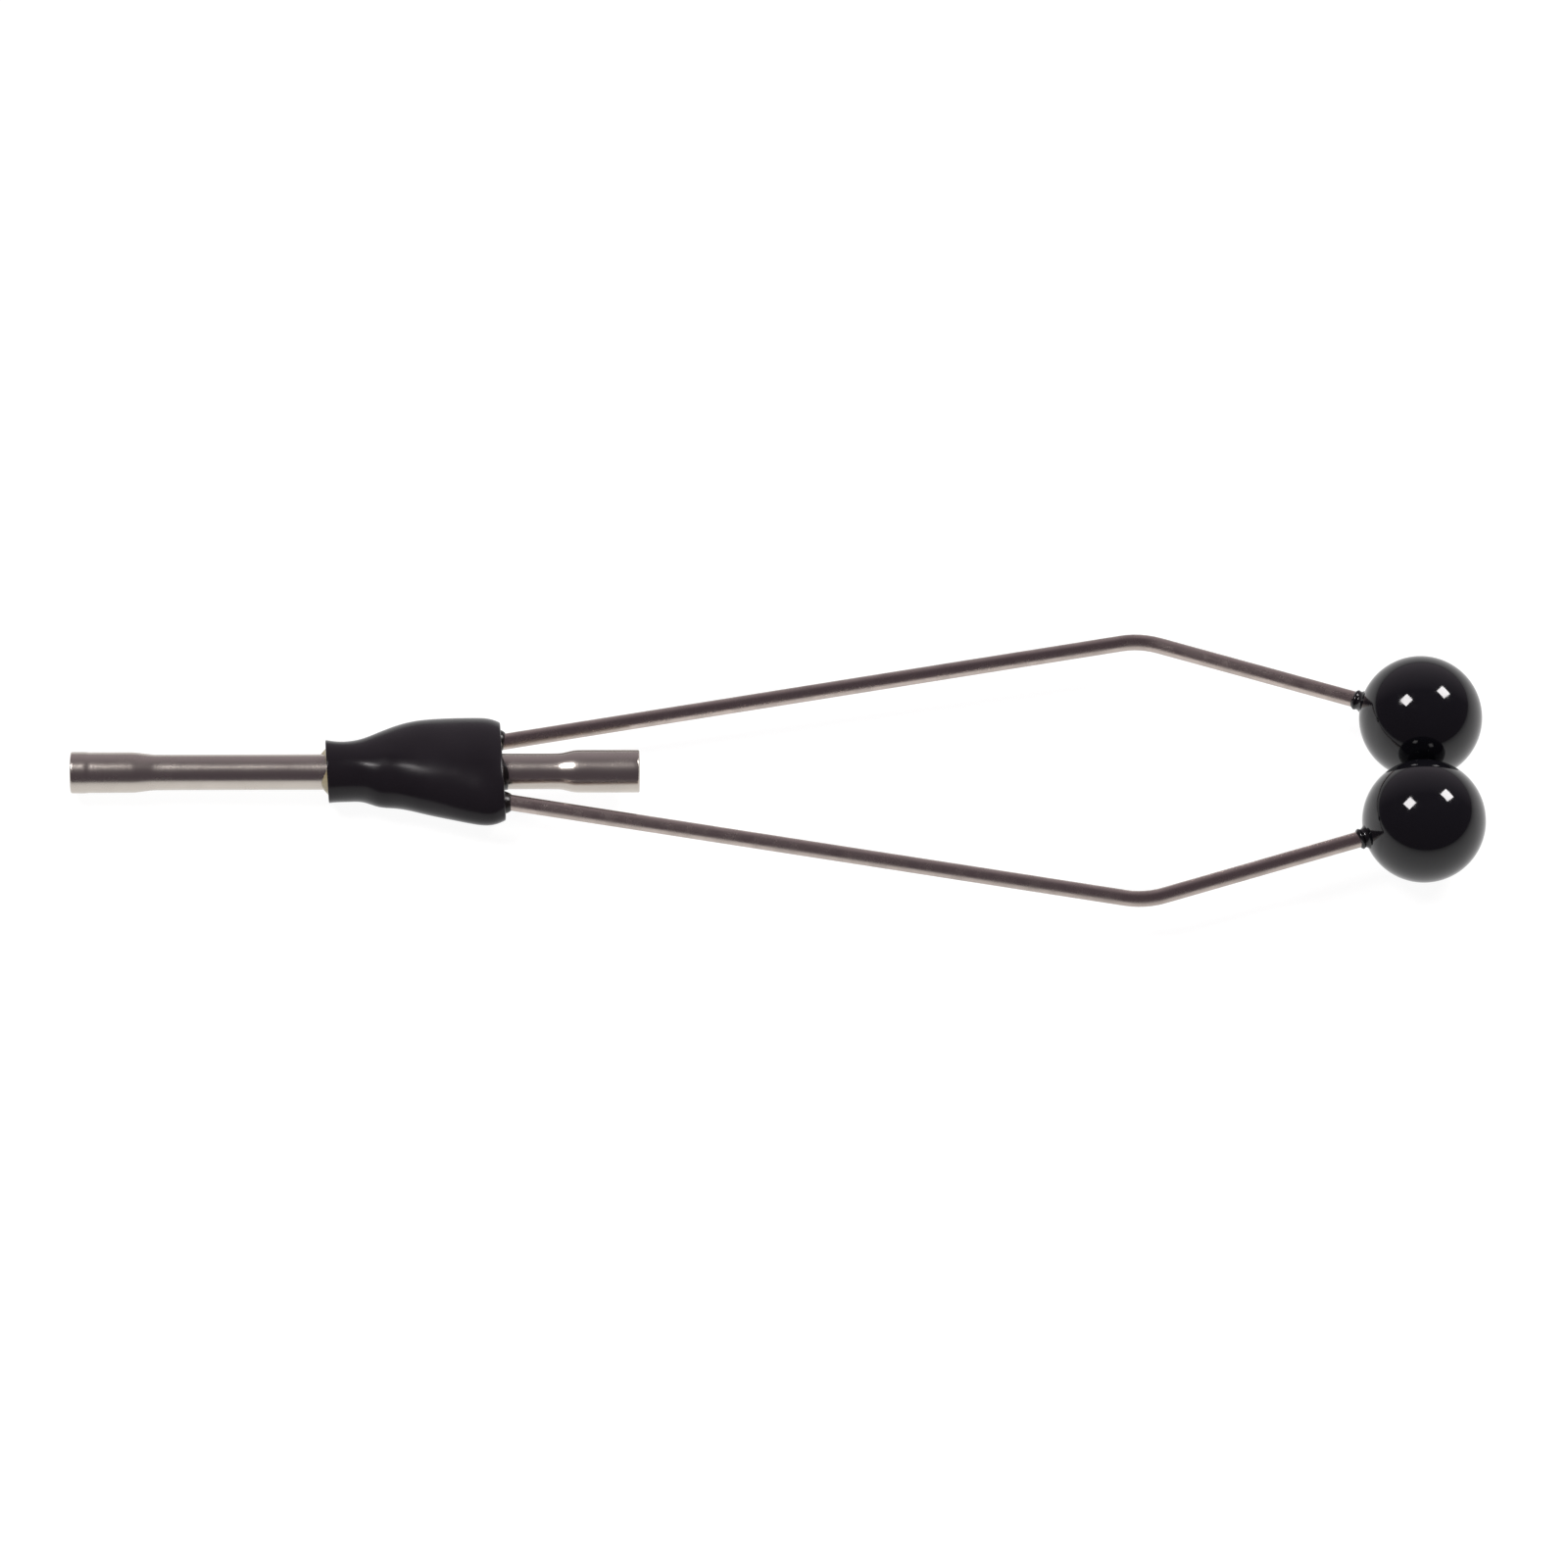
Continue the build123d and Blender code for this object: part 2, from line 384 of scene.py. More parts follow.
def polished_tube_steel(rgb):
    """Stainless steel tube, drawn and then polished while turning.

    The polish leaves rings round the tube, so a lamp's reflection is sharp across the tube and
    drawn out along it, and the room shows as dark and light bands that run its whole length.
    """
    material, shader = surface_material("polished_stainless_tube", {"Metallic": 1.0})
    place = add(material, "ShaderNodeTexCoord").outputs["Object"]
    # Rings 0.02 mm apart don't show at this size, so they are drawn 0.16 mm apart.
    ring_spacing = 0.16 * MM
    rings = add(
        material,
        "ShaderNodeMapping",
        {"Vector": place, "Scale": (1 / ring_spacing, 0.04 / MM, 0.04 / MM)},
    )
    ring_noise = add(
        material,
        "ShaderNodeTexNoise",
        {"Vector": rings.outputs["Vector"], "Scale": 1.0, "Detail": 3.0, "Roughness": 0.6},
    )
    # Stains and finger marks a few millimetres long.
    marks = add(
        material,
        "ShaderNodeTexNoise",
        {"Vector": place, "Scale": 1 / (2.4 * MM), "Detail": 4.0, "Roughness": 0.55},
    )
    roughness = add(
        material,
        "ShaderNodeMapRange",
        {"Value": marks.outputs["Fac"], "From Min": 0.3, "From Max": 0.7, "To Min": 0.24, "To Max": 0.28},
    )
    tint = mixed_colour(material, marks.outputs["Fac"], shaded(rgb, 1.05), shaded(rgb, 0.9))
    bump = add(
        material,
        "ShaderNodeBump",
        {"Height": ring_noise.outputs["Fac"], "Strength": 0.35, "Distance": 0.012 * MM},
    )
    connect(
        material,
        shader,
        {
            "Base Color": tint,
            "Roughness": roughness.outputs["Result"],
            "Normal": bump.outputs["Normal"],
        },
    )
    return material


def drawn_spring_steel(rgb, wire_length, wire_diameter):
    """Spring steel wire, drawn through dies.

    The dies leave fine lines along the wire, which soften reflections across it, and the lacquer
    of lubricant that stays in the lines makes it a little brown.
    """
    material, shader = surface_material(
        "drawn_spring_steel_wire",
        {"Metallic": 1.0, "Anisotropic": 0.9, "Anisotropic Rotation": 0.25},
    )
    uv = add(material, "ShaderNodeUVMap", uv_map="along_and_around").outputs["UV"]
    # Die lines 0.01 mm apart don't show at this size, so they are drawn 0.11 mm apart.
    line_spacing = 0.11 * MM
    line_length = 9 * MM
    blotch_size = 1.3 * MM
    lines = add(
        material,
        "ShaderNodeMapping",
        {"Vector": uv, "Scale": (wire_length / line_length, pi * wire_diameter / line_spacing, 1.0)},
    )
    line_noise = add(
        material,
        "ShaderNodeTexNoise",
        {"Vector": lines.outputs["Vector"], "Scale": 1.0, "Detail": 2.0, "Roughness": 0.5},
    )
    blotch_place = add(
        material,
        "ShaderNodeMapping",
        {"Vector": uv, "Scale": (wire_length / blotch_size, pi * wire_diameter / blotch_size, 1.0)},
    )
    blotches = add(
        material,
        "ShaderNodeTexNoise",
        {"Vector": blotch_place.outputs["Vector"], "Scale": 1.0, "Detail": 1.0, "Roughness": 0.5},
    )
    roughness = add(
        material,
        "ShaderNodeMapRange",
        {"Value": blotches.outputs["Fac"], "From Min": 0.3, "From Max": 0.7, "To Min": 0.22, "To Max": 0.3},
    )
    tint = mixed_colour(material, blotches.outputs["Fac"], shaded(rgb, 1.06), shaded(rgb, 0.84))
    bump = add(
        material,
        "ShaderNodeBump",
        {"Height": line_noise.outputs["Fac"], "Strength": 0.15, "Distance": 0.008 * MM},
    )
    tangent = add(material, "ShaderNodeTangent", direction_type="UV_MAP", uv_map="along_and_around")
    connect(
        material,
        shader,
        {
            "Tangent": tangent.outputs["Tangent"],
            "Base Color": tint,
            "Roughness": roughness.outputs["Result"],
            "Normal": bump.outputs["Normal"],
        },
    )
    return material


def tumbled_ball_plastic(rgb):
    """Black phenolic resin, moulded and polished by tumbling.

    Tumbling leaves a deep gloss with a barely seen unevenness, and faint scuffs where the balls
    have rubbed on a spool.
    """
    material, shader = surface_material("tumbled_black_phenolic", {"IOR": 1.5})
    place = add(material, "ShaderNodeTexCoord").outputs["Object"]
    unevenness = add(
        material,
        "ShaderNodeTexNoise",
        {"Vector": place, "Scale": 1 / (2.2 * MM), "Detail": 2.0, "Roughness": 0.4},
    )
    scuffs = add(
        material,
        "ShaderNodeTexNoise",
        {"Vector": place, "Scale": 1 / (0.7 * MM), "Detail": 5.0, "Roughness": 0.65},
    )
    roughness = add(
        material,
        "ShaderNodeMapRange",
        {"Value": scuffs.outputs["Fac"], "From Min": 0.4, "From Max": 0.75, "To Min": 0.045, "To Max": 0.14},
    )
    tint = mixed_colour(material, scuffs.outputs["Fac"], shaded(rgb, 0.9), shaded(rgb, 1.25))
    bump = add(
        material,
        "ShaderNodeBump",
        {"Height": unevenness.outputs["Fac"], "Strength": 0.12, "Distance": 0.02 * MM},
    )
    connect(
        material,
        shader,
        {
            "Base Color": tint,
            "Roughness": roughness.outputs["Result"],
            "Normal": bump.outputs["Normal"],
        },
    )
    return material


def cured_black_glue():
    """Black epoxy glue, cured as it ran: a wet gloss over small dimples and dust."""
    material, shader = surface_material("cured_black_epoxy", {"IOR": 1.55})
    place = add(material, "ShaderNodeTexCoord").outputs["Object"]
    dimples = add(
        material,
        "ShaderNodeTexNoise",
        {"Vector": place, "Scale": 1 / (0.35 * MM), "Detail": 3.0, "Roughness": 0.6},
    )
    tint = mixed_colour(material, dimples.outputs["Fac"], linear("08080A"), linear("171618"))
    roughness = add(
        material,
        "ShaderNodeMapRange",
        {"Value": dimples.outputs["Fac"], "From Min": 0.3, "From Max": 0.8, "To Min": 0.08, "To Max": 0.28},
    )
    bump = add(
        material,
        "ShaderNodeBump",
        {"Height": dimples.outputs["Fac"], "Strength": 0.25, "Distance": 0.03 * MM},
    )
    connect(
        material,
        shader,
        {
            "Base Color": tint,
            "Roughness": roughness.outputs["Result"],
            "Normal": bump.outputs["Normal"],
        },
    )
    return material


def shrunk_polyolefin(rgb):
    """Black polyolefin tubing, extruded and then shrunk by hot air.

    The skin is satin: a lamp shows on it as a thin soft streak. Shrinking draws faint lines
    along it, leaves a fine grain, and makes some places duller than others.
    """
    material, shader = surface_material(
        "shrunk_black_polyolefin", {"IOR": 1.49, "Specular IOR Level": 0.26}
    )
    place = add(material, "ShaderNodeTexCoord").outputs["Object"]
    grain = add(
        material,
        "ShaderNodeTexNoise",
        {"Vector": place, "Scale": 1 / (0.16 * MM), "Detail": 3.0, "Roughness": 0.6},
    )
    drawn = add(
        material,
        "ShaderNodeMapping",
        {"Vector": place, "Scale": (0.22 / MM, 1.9 / MM, 1.9 / MM)},
    )
    draw_lines = add(
        material,
        "ShaderNodeTexNoise",
        {"Vector": drawn.outputs["Vector"], "Scale": 1.0, "Detail": 3.0, "Roughness": 0.55},
    )
    patches = add(
        material,
        "ShaderNodeTexNoise",
        {"Vector": place, "Scale": 1 / (3.5 * MM), "Detail": 3.0, "Roughness": 0.5},
    )
    roughness = add(
        material,
        "ShaderNodeMapRange",
        {"Value": patches.outputs["Fac"], "From Min": 0.3, "From Max": 0.7, "To Min": 0.16, "To Max": 0.22},
    )
    tint = mixed_colour(material, patches.outputs["Fac"], shaded(rgb, 0.8), shaded(rgb, 1.2))
    fine = add(
        material,
        "ShaderNodeBump",
        {"Height": grain.outputs["Fac"], "Strength": 0.12, "Distance": 0.012 * MM},
    )
    coarse = add(
        material,
        "ShaderNodeBump",
        {
            "Height": draw_lines.outputs["Fac"],
            "Strength": 0.08,
            "Distance": 0.05 * MM,
            "Normal": fine.outputs["Normal"],
        },
    )
    connect(
        material,
        shader,
        {
            "Base Color": tint,
            "Roughness": roughness.outputs["Result"],
            "Normal": coarse.outputs["Normal"],
        },
    )
    return material


def cooled_hot_melt(rgb, front_end, rear_start):
    """Hot-melt adhesive, squeezed out of the sleeve and cooled.

    It is cream, waxy and a little translucent in front. Towards the rear mouth its colour is
    darkened to brown near black: painted shade, where the melt lies in the sleeve's shade.
    """
    material, shader = surface_material(
        "cooled_hot_melt",
        {
            "Roughness": 0.3,
            "IOR": 1.48,
            "Subsurface Weight": 0.25,
            "Subsurface Radius": (1.0, 0.8, 0.5),
            "Subsurface Scale": 0.25 * MM,
        },
    )
    place = add(material, "ShaderNodeTexCoord").outputs["Object"]
    along = add(material, "ShaderNodeSeparateXYZ", {"Vector": place}).outputs["X"]
    clouds = add(
        material,
        "ShaderNodeTexNoise",
        {"Vector": place, "Scale": 1 / (0.5 * MM), "Detail": 4.0, "Roughness": 0.6},
    )
    # Painted shade: a ramp along the tool from the front of the melt to the rear mouth.
    painted_rear_shade = add(
        material,
        "ShaderNodeMapRange",
        {"Value": along, "From Min": front_end, "From Max": rear_start, "To Min": 0.0, "To Max": 1.0},
    )
    cream = mixed_colour(material, clouds.outputs["Fac"], shaded(rgb, 1.15), shaded(rgb, 0.55))
    # The cream is mixed towards near black by that ramp: painted shade at the rear mouth.
    tint = mixed_colour(material, painted_rear_shade.outputs["Result"], cream, linear("1A1512"))
    bump = add(
        material,
        "ShaderNodeBump",
        {"Height": clouds.outputs["Fac"], "Strength": 0.5, "Distance": 0.05 * MM},
    )
    connect(material, shader, {"Base Color": tint, "Normal": bump.outputs["Normal"]})
    return material


def silver_braze():
    """Silver braze as it flowed between wire and tube: pale yellow metal with a grainy skin."""
    material, shader = surface_material("flowed_silver_braze", {"Metallic": 1.0})
    place = add(material, "ShaderNodeTexCoord").outputs["Object"]
    grain = add(
        material,
        "ShaderNodeTexNoise",
        {"Vector": place, "Scale": 1 / (0.2 * MM), "Detail": 4.0, "Roughness": 0.6},
    )
    tint = mixed_colour(material, grain.outputs["Fac"], linear("D9C38C"), linear("A98F5F"))
    roughness = add(
        material,
        "ShaderNodeMapRange",
        {"Value": grain.outputs["Fac"], "To Min": 0.28, "To Max": 0.5},
    )
    bump = add(
        material,
        "ShaderNodeBump",
        {"Height": grain.outputs["Fac"], "Strength": 0.4, "Distance": 0.02 * MM},
    )
    connect(
        material,
        shader,
        {
            "Base Color": tint,
            "Roughness": roughness.outputs["Result"],
            "Normal": bump.outputs["Normal"],
        },
    )
    return material


def lit_acrylic_table(rgb, tool_length):
    """White opal acrylic, lit from below as product tables are: it washes out the shadows.

    The lamps under it stand below the tool, so what the tool reflects fades away from it as
    1 / (1 + distance / fade), and the camera sees the sheet evenly bright.
    """
    material, shader = surface_material(
        "lit_opal_acrylic", {"Roughness": 0.6, "Emission Color": linear("FDFDFD")}
    )
    fade = 60 * MM
    haze_size = 60 * MM
    place = add(material, "ShaderNodeTexCoord").outputs["Object"]
    haze = add(
        material,
        "ShaderNodeTexNoise",
        {"Vector": place, "Scale": 1 / haze_size, "Detail": 2.0, "Roughness": 0.4},
    )
    tint = mixed_colour(material, haze.outputs["Fac"], shaded(rgb, 0.13), shaded(rgb, 0.12))
    # Distance from the nearest point of the tool's own length.
    apart = add(material, "ShaderNodeSeparateXYZ", {"Vector": place}).outputs
    beside = add(material, "ShaderNodeClamp", {"Value": apart["X"], "Min": 0.0, "Max": tool_length})
    past_end = add(
        material,
        "ShaderNodeMath",
        {0: apart["X"], 1: beside.outputs["Result"]},
        operation="SUBTRACT",
    )
    away = add(material, "ShaderNodeCombineXYZ", {"X": past_end.outputs["Value"], "Y": apart["Y"]})
    distance = add(
        material, "ShaderNodeVectorMath", {"Vector": away.outputs["Vector"]}, operation="LENGTH"
    )
    spread = add(
        material,
        "ShaderNodeMath",
        {0: distance.outputs["Value"], 1: 1 / fade, 2: 1.0},
        operation="MULTIPLY_ADD",
    )
    reflected = add(
        material, "ShaderNodeMath", {0: 1.0, 1: spread.outputs["Value"]}, operation="DIVIDE"
    )
    seen = add(material, "ShaderNodeLightPath").outputs["Is Camera Ray"]
    strength = add(
        material,
        "ShaderNodeMapRange",
        {"Value": seen, "To Min": reflected.outputs["Value"], "To Max": 0.96},
    )
    connect(
        material, shader, {"Base Color": tint, "Emission Strength": strength.outputs["Result"]}
    )
    return material


# ---- the wires' path, shared by wires, glue and melt ----


def wire_corners(side, start_x):
    """Corners of one wire's centre line: inner end, bend in the sleeve, elbow, end in the ball."""
    wires = settings("wires")
    tip_gap = 0.5 * MM
    pivot = np.array([flexure[0], flexure[1]])
    elbow = np.array([wires.elbow_x, wires.elbow_y])
    slope = (elbow[1] - pivot[1]) / (elbow[0] - pivot[0])
    bend = np.array([elbow[0] - (elbow[1] - wires.beside_tube) / slope, wires.beside_tube])
    start = np.array([start_x, wires.beside_tube])
    centre = ball_centre[:2]
    inside = centre + (elbow - centre) / np.linalg.norm(elbow - centre) * tip_gap
    return np.array([start, bend, elbow, inside]) * (1, side)


def bent_line(corners, bend_radius, step):
    """Points and headings of straight runs joined by arcs, one arc at each inner corner.

    The heading is constant on a run and linear along an arc, and each point is the one before
    plus a chord: the arc length times sinc of half its turn, along the mean heading.
    """
    legs = np.diff(corners, axis=0)
    headings = np.arctan2(legs[:, 1], legs[:, 0])
    turns = np.diff(headings)
    trims = np.concatenate([[0], bend_radius * np.tan(np.abs(turns) / 2), [0]])
    lengths = np.zeros(2 * len(legs) - 1)
    lengths[0::2] = np.hypot(legs[:, 0], legs[:, 1]) - trims[:-1] - trims[1:]
    lengths[1::2] = bend_radius * np.abs(turns)
    ends = np.concatenate([[0], np.cumsum(lengths)])
    spans = [
        np.linspace(a, b, max(2, int((b - a) / step)), endpoint=False)
        for a, b in zip(ends[:-1], ends[1:])
    ]
    along = np.concatenate([*spans, ends[-1:]])
    heading = np.interp(along, ends, np.repeat(headings, 2))
    mean = (heading[1:] + heading[:-1]) / 2
    chord = np.diff(along) * np.sinc(np.diff(heading) / 2 / pi)
    steps = np.stack([np.cos(mean), np.sin(mean)], axis=1) * chord[:, None]
    points = corners[0] + np.vstack([[0, 0], np.cumsum(steps, axis=0)])
    return points, heading, along


def way_out_of_ball(side):
    """Unit vector from a ball's centre along its wire, and that centre."""
    corners = wire_corners(side, root_low[0])
    out = corners[2] - corners[3]
    centre = np.array([ball_centre[0], side * ball_centre[1], 0.0])
    return np.array([*(out / np.linalg.norm(out)), 0.0]), centre


# ---- the pieces ----


class BOBBIN_OT_thread_tube(bpy.types.Operator):
    """Make the steel tube with its expanded ends"""

    bl_idname = "bobbin.thread_tube"
    bl_label = "Thread tube"

    def execute(self, context):
        """A closed wall section turned about the X axis.

        Outer radius = body + (front - body) (1 - ramp) + (rear - body) ramp, with a rounded ramp
        for each taper, plus a rolled lip that ends behind the first millimetre. The inside is the
        same line moved in by the wall, and both ends are half superellipses.
        """
        tube = settings("tube")
        lip_length = 1.1 * MM
        lip_fall = 0.45 * MM
        taper_end = tube.front_length + tube.front_taper
        rear_start = tube.length - tube.rear_length
        lip_stretch = 2.2 * MM
        edge_depth = 0.15 * MM
        corner = 0.32 * MM
        margin = 0.2 * MM
        x = np.unique(
            np.concatenate(
                [
                    np.linspace(edge_depth, lip_stretch, 24),
                    np.linspace(tube.front_length - margin, taper_end + margin, 24),
                    np.linspace(taper_end, rear_start - tube.rear_taper, 40),
                    np.linspace(rear_start - tube.rear_taper - margin, rear_start + margin, 24),
                    np.linspace(rear_start, tube.length - edge_depth, 14),
                ]
            )
        )
        radius = tube.body / 2
        front_ramp = rounded_ramp(tube.front_length, taper_end, corner, x)
        rear_ramp = rounded_ramp(rear_start - tube.rear_taper, rear_start, corner, x)
        radius = radius + (tube.front_end - tube.body) / 2 * (1 - front_ramp)
        radius += (tube.rear_end - tube.body) / 2 * rear_ramp
        radius += tube.lip * (1 - eased(lip_length, lip_length + lip_fall, x))
        out, depth = rounded_edge(tube.wall, edge_depth, 2.6, 9)
        heights = np.concatenate([x, x[-1] + out, x[::-1], x[0] - out[::-1]])
        radii = np.concatenate(
            [radius, radius[-1] - depth, radius[::-1] - tube.wall, radius[0] - depth[::-1]]
        )
        steel = polished_tube_steel(tube.steel)
        grid = turned(radii, heights, (0, 0, 0), (1, 0, 0), 112)
        piece = make_piece("steel_thread_tube", grid, steel, close_rows=True)
        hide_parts("thread_tube")
        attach(piece, "grip")
        return {"FINISHED"}


class BOBBIN_OT_spring_wires(bpy.types.Operator):
    """Make the two bent spring wires"""

    bl_idname = "bobbin.spring_wires"
    bl_label = "Spring wires"

    def execute(self, context):
        """A circle carried along each wire's line: point + radius (n cos t + z sin t).

        n is square to the line in the plane of the tool. Both ends are cut with a small chamfer.
        """
        wires = settings("wires")
        chamfer = 0.15 * MM
        tip = 0.8
        material = None
        for (side, name), start_x in zip(SIDES, (root_low[0], right_root_low[0])):
            points, heading, along = bent_line(wire_corners(side, start_x), wires.bend_radius, 0.45 * MM)
            radius = wires.diameter / 2
            from_end = np.minimum(along, along[-1] - along)
            radii = radius * (tip + (1 - tip) * np.clip(from_end / chamfer, 0, 1))
            angle = np.linspace(0, 2 * pi, 56, endpoint=False)
            normal = np.stack([-np.sin(heading), np.cos(heading), np.zeros_like(heading)], axis=1)
            up = np.array([0.0, 0.0, 1.0])
            ring = normal[:, None] * np.cos(angle)[:, None] + up * np.sin(angle)[:, None]
            line = np.column_stack([points, np.zeros(len(points))])
            grid = line[:, None] + radii[:, None, None] * ring
            if material is None:
                material = drawn_spring_steel(wires.steel, float(along[-1]), wires.diameter)
            piece = make_piece(
                f"spring_wire_{name}", grid, material, first_pole=line[0], last_pole=line[-1]
            )
            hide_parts(f"wire_root_{name}", f"wire_arm_{name}")
            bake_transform(piece)
        return {"FINISHED"}


class BOBBIN_OT_balls(bpy.types.Operator):
    """Make the two black balls"""

    bl_idname = "bobbin.balls"
    bl_label = "Balls"

    def execute(self, context):
        """Each ball is turned about its wire: a blind hole, a broken edge and the sphere.

        On the sphere the radius is R sin a and the height R cos a, from the hole's edge to the far
        pole.
        """
        balls = settings("balls")
        material = tumbled_ball_plastic(balls.plastic)
        radius = balls.diameter / 2
        glue_clearance = 0.025 * MM
        hole = settings("wires").diameter / 2 + glue_clearance
        broken = 0.06 * MM
        edge = asin((hole + broken) / radius)
        floor = radius - balls.hole_depth
        angle = np.linspace(edge, pi, 100)[:-1]
        hole_top = radius * cos(edge) - broken
        radii = np.concatenate([[0.5 * hole, hole, hole, hole], radius * np.sin(angle)])
        heights = np.concatenate(
            [[floor, floor, (floor + hole_top) / 2, hole_top], radius * np.cos(angle)]
        )
        for side, name in SIDES:
            out, centre = way_out_of_ball(side)
            grid = turned(radii, heights, centre, out, 144)
            piece = make_piece(
                f"black_ball_{name}",
                grid,
                material,
                first_pole=centre + out * floor,
                last_pole=centre - out * radius,
            )
            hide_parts(f"ball_{name}")
            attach(piece, f"arm_{name}")
        return {"FINISHED"}


class BOBBIN_OT_glue(bpy.types.Operator):
    """Make the glue collars where the wires enter the balls"""

    bl_idname = "bobbin.glue"
    bl_label = "Glue collars"

    def execute(self, context):
        """A closed section turned about the wire and swollen by two waves round it.

        The outside runs from a foot on the ball, r = foot, up to the wire as a concave fillet that
        swells again to a thick rolled end, as glue that ran back along the wire.
        """
        balls = settings("balls")
        material = cured_black_glue()
        ball_radius = balls.diameter / 2
        wire = settings("wires").diameter / 2
        overlap = 0.01 * MM
        sunk = 0.02 * MM
        roll_start = 0.86
        inner_rows = 8
        t = np.linspace(0, 1, 30)
        fillet = wire + (balls.glue_foot - wire) * (1 - t) ** 2.6
        swelling = 0.17 * MM * np.exp(-(((t - 0.72) / 0.22) ** 2))
        rolled = np.sqrt(np.clip(1 - np.clip((t - roll_start) / (1 - roll_start), 0, 1) ** 2, 0, 1))
        outer = wire - overlap + (fillet + swelling - wire + overlap) * rolled
        foot = np.sqrt(ball_radius**2 - balls.glue_foot**2) - sunk
        heights = foot + (ball_radius + balls.glue_height - foot) * t
        inner_radii = np.full(inner_rows, wire - overlap)
        inner_heights = np.linspace(heights[-1], foot - 0.05 * MM, inner_rows + 2)[1:-1]
        columns = 72
        angle = np.linspace(0, 2 * pi, columns, endpoint=False)
        for side, name in SIDES:
            phase = 0.6 if side > 0 else 2.4
            lumps = 1 + 0.10 * np.sin(2 * angle + phase) + 0.03 * np.sin(3 * angle + 2 * phase)
            run = 1 + 0.10 * np.sin(angle + 2 * phase) + 0.03 * np.sin(3 * angle + phase)
            swollen = wire + (outer[:, None] - wire) * lumps
            ran = foot + (heights[:, None] - foot) * run
            radii = np.vstack([swollen, np.broadcast_to(inner_radii[:, None], (inner_rows, columns))])
            inner = foot + (inner_heights[:, None] - foot) * run
            out, centre = way_out_of_ball(side)
            grid = turned(radii, np.vstack([ran, inner]), centre, out, columns)
            piece = make_piece(f"glue_collar_{name}", grid, material, close_rows=True)
            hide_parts(f"glue_bead_{name}")
            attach(piece, f"arm_{name}")
        return {"FINISHED"}


# The shrunk sleeve's outline in millimetres: x, half-width left, half-width right, half-height.
# It flares at the cut front edge, hugs the tube, opens over the wires' ends, first on the left,
# and curls in at the rear mouth.
SLEEVE_STATIONS = np.array(
    [
        (20.4, 2.66, 2.62, 2.56),
        (21.3, 2.50, 2.49, 2.47),
        (22.5, 2.50, 2.44, 2.45),
        (23.6, 2.80, 2.49, 2.47),
        (24.8, 3.44, 2.94, 2.55),
        (26.2, 4.13, 3.11, 2.65),
        (28.2, 4.67, 3.60, 2.78),
        (30.6, 4.86, 4.25, 2.87),
        (32.6, 4.90, 4.75, 2.89),
        (33.8, 4.78, 4.92, 2.86),
        (34.6, 4.45, 4.77, 2.74),
        (35.3, 3.96, 4.39, 2.58),
    ]
)
SLEEVE_CUT_SLOPE = tan(radians(3.7))


def sleeve_surface(nominal_x, inset, angle):
    """Points of the sleeve at nominal_x, moved in by inset, round the angle.

    The section is two half ellipses: y = half-width cos a, z = half-height sin a, with its own
    half-width on each side. x is nominal_x less the cut's slope times y, so both cut ends are
    askew. A swelling exp(-d^2) lies over the brazed joint, and low waves make it uneven.
    """
    x_stations = SLEEVE_STATIONS[:, 0] * MM
    left, right, height = (SLEEVE_STATIONS[:, i] * MM for i in (1, 2, 3))
    is_left = np.cos(angle) >= 0
    nominal_x, inset, angle, is_left = np.broadcast_arrays(nominal_x, inset, angle, is_left)

    def half_width(x):
        on_left = natural_spline(x_stations, left, x)
        on_right = natural_spline(x_stations, right, x)
        return np.where(is_left, on_left, on_right)

    x = nominal_x - SLEEVE_CUT_SLOPE * half_width(nominal_x) * np.cos(angle)
    long_wave = 0.0096 * MM * np.sin(3 * angle + x / (0.9 * MM))
    short_wave = 0.0064 * MM * np.sin(5 * angle - x / (0.6 * MM) + 1)
    wave = long_wave + short_wave
    y = (half_width(x) - inset + wave) * np.cos(angle)
    z = (natural_spline(x_stations, height, x) - inset + wave) * np.sin(angle)
    joint_x, joint_radius, joint_height = 25.65 * MM, 0.75 * MM, 0.05 * MM
    from_joint = ((x - joint_x) ** 2 + y**2) / joint_radius**2
    z = z + joint_height * np.exp(-from_joint) * np.clip(np.sin(angle), 0, 1)
    return np.stack([x, y, z], axis=-1)


class BOBBIN_OT_sleeve(bpy.types.Operator):
    """Make the black shrink sleeve"""

    bl_idname = "bobbin.sleeve"
    bl_label = "Shrink sleeve"

    def execute(self, context):
        """The sleeve's outside, its cut rear edge, its inside and its cut front edge, all round."""
        sleeve = settings("sleeve")
        edge_depth = 0.1 * MM
        x = np.linspace(sleeve.front + edge_depth, sleeve.rear - edge_depth, 104)
        out, depth = rounded_edge(sleeve.wall, edge_depth, 3.2, 7)
        nominal_x = np.concatenate([x, x[-1] + out, x[::-1], x[0] - out[::-1]])
        inset = np.concatenate([0 * x, depth, 0 * x + sleeve.wall, depth[::-1]])
        angle = np.linspace(0, 2 * pi, 176, endpoint=False)
        grid = sleeve_surface(nominal_x[:, None], inset[:, None], angle[None, :])
        piece = make_piece("shrunk_sleeve", grid, shrunk_polyolefin(sleeve.polymer), close_rows=True)
        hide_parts("shrink_sleeve")
        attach(piece, "grip")
        return {"FINISHED"}


